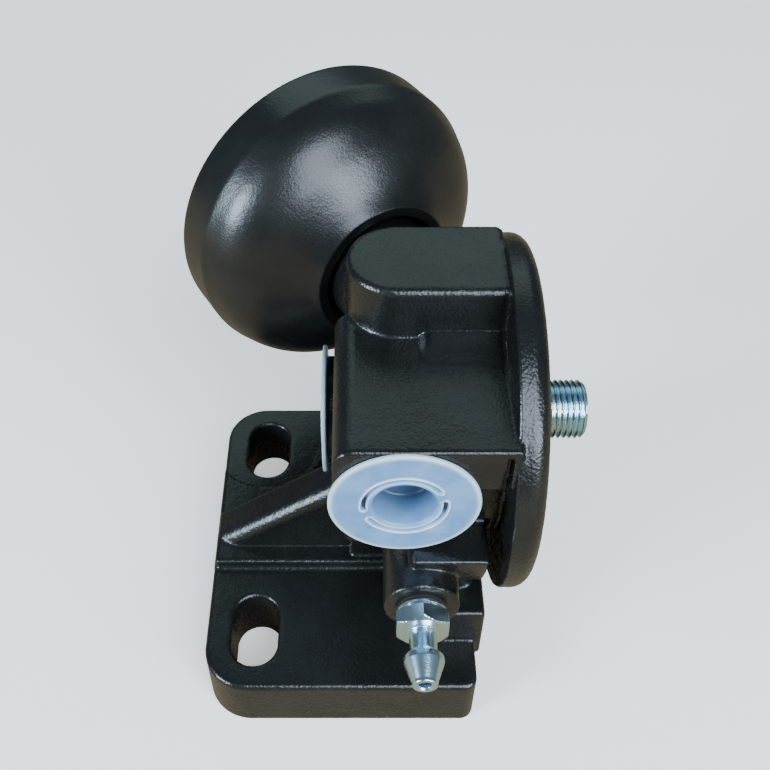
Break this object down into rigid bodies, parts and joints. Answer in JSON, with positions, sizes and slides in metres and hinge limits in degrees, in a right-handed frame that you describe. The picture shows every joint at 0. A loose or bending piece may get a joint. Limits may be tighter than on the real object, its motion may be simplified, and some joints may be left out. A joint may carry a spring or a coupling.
{
  "type": "fuel filter head with hand primer pump",
  "caption": "Filter head: black casting on a slotted plate, threaded stud for a spin-on filter, mushroom-knob hand primer pump, bleed nipple and plugged ports.",
  "frame": {"origin": "midway between the two bolt slots, on the mounting face", "axes": "+Z away from the mounting face, +X along the filter's axis towards its stud, +Y towards the pump knob"},
  "size_m": [0.1105, 0.165, 0.1385],
  "materials": {
    "painted_casting": "satin black paint over cast aluminium",
    "zinc_steel": "blue passivated zinc",
    "liner_steel": "honed",
    "bronze": "sintered bronze",
    "rubber": "matt black nitrile",
    "knob_black": "satin black",
    "brass": "turned brass",
    "spring_steel": "drawn wire",
    "plug_plastic": "translucent bluish white"
  },
  "bodies": {
    "head": {"head_casting": "painted_casting", "filter_stud": "zinc_steel", "barrel_liner": "liner_steel", "gland_nut": "zinc_steel", "guide_bush": "bronze", "gland_o_ring": "rubber", "stem_wiper": "rubber", "return_spring": "spring_steel", "inlet_valve_seat": "brass", "outlet_valve_seat": "brass", "inlet_valve_spring": "spring_steel", "outlet_valve_spring": "spring_steel"},
    "plunger": {"pump_knob": "knob_black", "knob_cap": "knob_black", "knob_screw": "zinc_steel", "knob_washer": "zinc_steel", "pump_stem": "zinc_steel", "piston": "brass", "piston_seal": "rubber", "piston_clip": "spring_steel"},
    "bleed_seal": {"bleed_washer": "rubber"},
    "bleed": {"bleed_screw": "zinc_steel"},
    "front_plug": {"port_plug_front": "plug_plastic"},
    "side_plug": {"port_plug_side": "plug_plastic"},
    "inlet_disc": {"inlet_valve_disc": "rubber"},
    "outlet_disc": {"outlet_valve_disc": "rubber"}
  },
  "joints": [
    {"name": "pump_stroke", "type": "slide", "parent": "head", "child": "plunger", "axis": [-0.5225, 0.8526, 0], "range_m": [-0.006, 0], "stiffness_N_per_m": 300, "springref_m": 0.02, "deforming": ["return_spring"]},
    {"name": "bleed_lift", "type": "slide", "parent": "head", "child": "bleed_seal", "axis": [0, -1, 0], "range_m": [0, 0.0026]},
    {"name": "bleed_turn", "type": "hinge", "parent": "bleed_seal", "child": "bleed", "pos_m": [0.046, -0.05, 0.0588], "axis": [0, -1, 0], "range_deg": [0, 720]},
    {"name": "front_plug_pull", "type": "slide", "parent": "head", "child": "front_plug", "axis": [0, -1, 0], "range_m": [0, 0.02]},
    {"name": "side_plug_pull", "type": "slide", "parent": "head", "child": "side_plug", "axis": [-1, 0, 0], "range_m": [0, 0.02]},
    {"name": "inlet_valve_lift", "type": "slide", "parent": "head", "child": "inlet_disc", "axis": [0, 1, 0], "range_m": [0, 0.002], "stiffness_N_per_m": 60, "springref_m": -0.004, "deforming": ["inlet_valve_spring"]},
    {"name": "outlet_valve_lift", "type": "slide", "parent": "head", "child": "outlet_disc", "axis": [1, 0, 0], "range_m": [0, 0.0015], "stiffness_N_per_m": 60, "springref_m": -0.004, "deforming": ["outlet_valve_spring"]}
  ],
  "couplings": [
    {"joint": "bleed_lift", "follows": "bleed_turn", "m_per_rad": 0.00019894}
  ]
}
